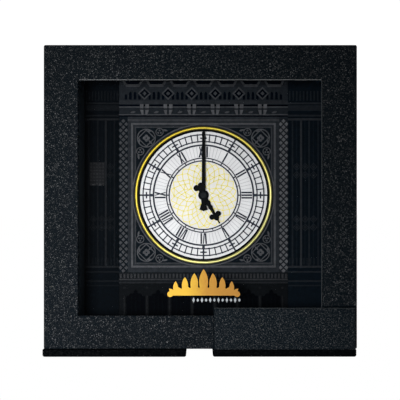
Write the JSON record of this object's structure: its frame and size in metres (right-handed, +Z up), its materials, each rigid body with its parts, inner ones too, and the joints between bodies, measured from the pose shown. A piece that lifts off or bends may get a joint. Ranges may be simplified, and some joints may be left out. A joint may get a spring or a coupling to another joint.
{
  "type": "framed clock-tower mantel clock",
  "caption": "Square leatherette display case with a window, a Gothic clock-tower facade in relief, a white dial with a gold bezel and a battery movement.",
  "frame": {"origin": "on the resting surface, under the centre of the case", "axes": "+Z up, -Y towards the viewer, +X to the viewer's right"},
  "size_m": [0.1802, 0.0646, 0.1789],
  "materials": {
    "leatherette": "black pebble-grain leatherette wrapped over board",
    "wood_black": "black painted batten",
    "pane": "clear polished pane",
    "gilt": "bright gold, polished",
    "white_print": "white enamel print",
    "facade_stone": "dark grey cast resin, stone finish",
    "facade_board": "dark grey mounting board",
    "dial_white": "opal white",
    "dial_cream": "opal cream",
    "dial_line": "dark blue-grey enamel",
    "hand_black": "satin black",
    "steel": "plain steel",
    "magnet": "nickel-plated magnet",
    "movement_black": "moulded black plastic",
    "gear_white": "natural acetal",
    "copper": "enamelled copper winding",
    "board_green": "circuit board lacquer",
    "battery_wrap": "printed battery sleeve",
    "rubber": "matt black rubber",
    "wood_plain": "plain pine",
    "back_black": "black paper-faced backing board"
  },
  "bodies": {
    "case": {"back_cover": "back_black", "back_cover_screws": "steel", "bezel_ring": "gilt", "bottom_batten": "wood_black", "bottom_wall": "leatherette", "centre_panel": "dial_cream", "circuit_board": "board_green", "coil": "copper", "cornice": "facade_stone", "dial_numerals": "dial_line", "dial_plate": "dial_white", "dial_surround": "facade_stone", "dial_tracery": "dial_line", "facade_backplate": "facade_board", "flap_hinge": "leatherette", "frame_magnet": "magnet", "front_frame": "leatherette", "inner_ring": "hand_black", "left_batten": "wood_black", "left_foot_board": "leatherette", "left_pilaster": "facade_stone", "left_wall": "leatherette", "left_wing": "facade_stone", "lower_arcade": "facade_stone", "lower_left_spandrel": "facade_stone", "lower_right_spandrel": "facade_stone", "mounting_nut": "steel", "movement_case": "movement_black", "movement_cover": "movement_black", "negative_contact": "steel", "pane_caption_bar": "white_print", "pane_ornament": "gilt", "parapet": "facade_stone", "positive_contact": "steel", "rear_corner_blocks": "wood_plain", "right_batten": "wood_black", "right_foot_board": "leatherette", "right_pilaster": "facade_stone", "right_wall": "leatherette", "right_wing": "facade_stone", "rotor": "steel", "rubber_washer": "rubber", "sill_band": "facade_stone", "top_batten": "wood_black", "top_wall": "leatherette", "upper_left_spandrel": "facade_stone", "upper_right_spandrel": "facade_stone", "window_pane": "pane"},
    "flap": {"flap_board": "leatherette", "flap_magnet": "magnet"},
    "minute": {"minute_hand": "hand_black", "hand_nut": "hand_black", "minute_arbor": "steel"},
    "hour": {"hour_hand": "hand_black", "hour_wheel": "gear_white"},
    "setting": {"minute_wheel": "gear_white", "setting_knob": "movement_black"},
    "battery": {"battery": "battery_wrap"}
  },
  "joints": [
    {"name": "minute_turn", "type": "hinge", "parent": "case", "child": "minute", "pos_m": [0.0019, 0, 0.0927], "axis": [0, 1, 0], "continuous": true},
    {"name": "hour_turn", "type": "hinge", "parent": "case", "child": "hour", "pos_m": [0.0019, 0, 0.0927], "axis": [0, 1, 0], "continuous": true},
    {"name": "setting_turn", "type": "hinge", "parent": "case", "child": "setting", "pos_m": [0.0019, 0, 0.1027], "axis": [0, 1, 0], "continuous": true},
    {"name": "battery_slide", "type": "slide", "parent": "case", "child": "battery", "axis": [0, 1, 0], "range_m": [0, 0.03]},
    {"name": "flap_fold", "type": "hinge", "parent": "case", "child": "flap", "pos_m": [0, -0.0332, 0.0044], "axis": [1, 0, 0], "range_deg": [0, 95]}
  ],
  "couplings": [
    {"joint": "hour_turn", "follows": "minute_turn", "ratio": 0.083333},
    {"joint": "setting_turn", "follows": "minute_turn", "ratio": -0.33333}
  ]
}
